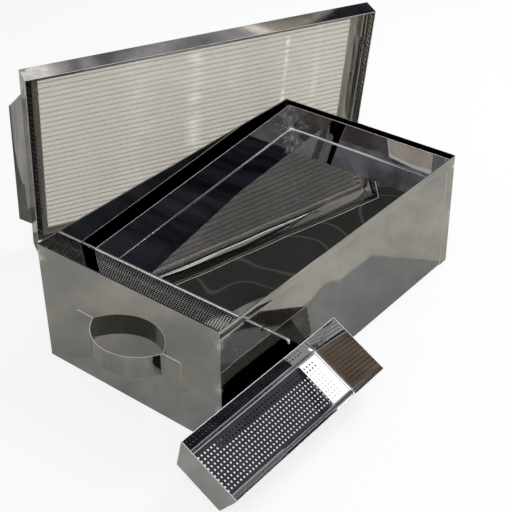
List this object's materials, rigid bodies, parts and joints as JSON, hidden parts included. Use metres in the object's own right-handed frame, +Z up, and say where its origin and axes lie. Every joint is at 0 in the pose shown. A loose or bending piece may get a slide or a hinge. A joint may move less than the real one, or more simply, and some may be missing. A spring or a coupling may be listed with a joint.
{
  "type": "solar wax melter",
  "caption": "Stainless sheet box with a tilted melting tray on a cross rod, a glazed lift-off lid leaning behind it and a perforated trough leaning in front.",
  "frame": {"origin": "centre of the housing's bottom face, on the surface it stands on", "axes": "+X from the near end, where the trough and rod are, to the far end; +Y from the front side to the back side; +Z up"},
  "size_m": [0.9225, 0.7589, 0.3919],
  "materials": {
    "housing_steel": "polished",
    "tray_steel": "mirror polished",
    "trough_steel": "mirror polished",
    "lid_steel": "mirror polished",
    "rod_steel": "drawn bright",
    "polycarbonate": "clear twin-wall"
  },
  "bodies": {
    "housing": {"housing_wrap": "housing_steel", "near_end_panel": "housing_steel", "far_end_panel": "housing_steel", "near_handle": "housing_steel", "far_handle": "housing_steel", "tray_ledge": "housing_steel"},
    "rod": {"support_rod": "rod_steel", "rod_collar": "rod_steel"},
    "tray": {"melting_tray": "tray_steel", "tray_filter_wall": "tray_steel"},
    "lid": {"lid_bottom_rail": "lid_steel", "lid_top_rail": "lid_steel", "lid_near_rail": "lid_steel", "lid_far_rail": "lid_steel", "lid_glazing": "polycarbonate"},
    "trough": {"trough_floor": "trough_steel", "trough_front_wall": "trough_steel", "trough_back_wall": "trough_steel", "trough_near_end": "trough_steel", "trough_far_end": "trough_steel"}
  },
  "joints": [
    {"name": "tray_pivot", "type": "hinge", "parent": "housing", "child": "tray", "pos_m": [-0.21234, 0, 0.15771], "axis": [0, -1, 0], "range_deg": [0, 18]},
    {"name": "rod_pull", "type": "slide", "parent": "housing", "child": "rod", "axis": [0, -1, 0], "range_m": [0, 0.4]},
    {"name": "lid_lift", "type": "slide", "parent": "housing", "child": "lid", "axis": [0.4348, 0.8797, 0.1925], "range_m": [0, 0.2]},
    {"name": "trough_lift", "type": "slide", "parent": "housing", "child": "trough", "axis": [0, -1, 0], "range_m": [0, 0.15]}
  ]
}
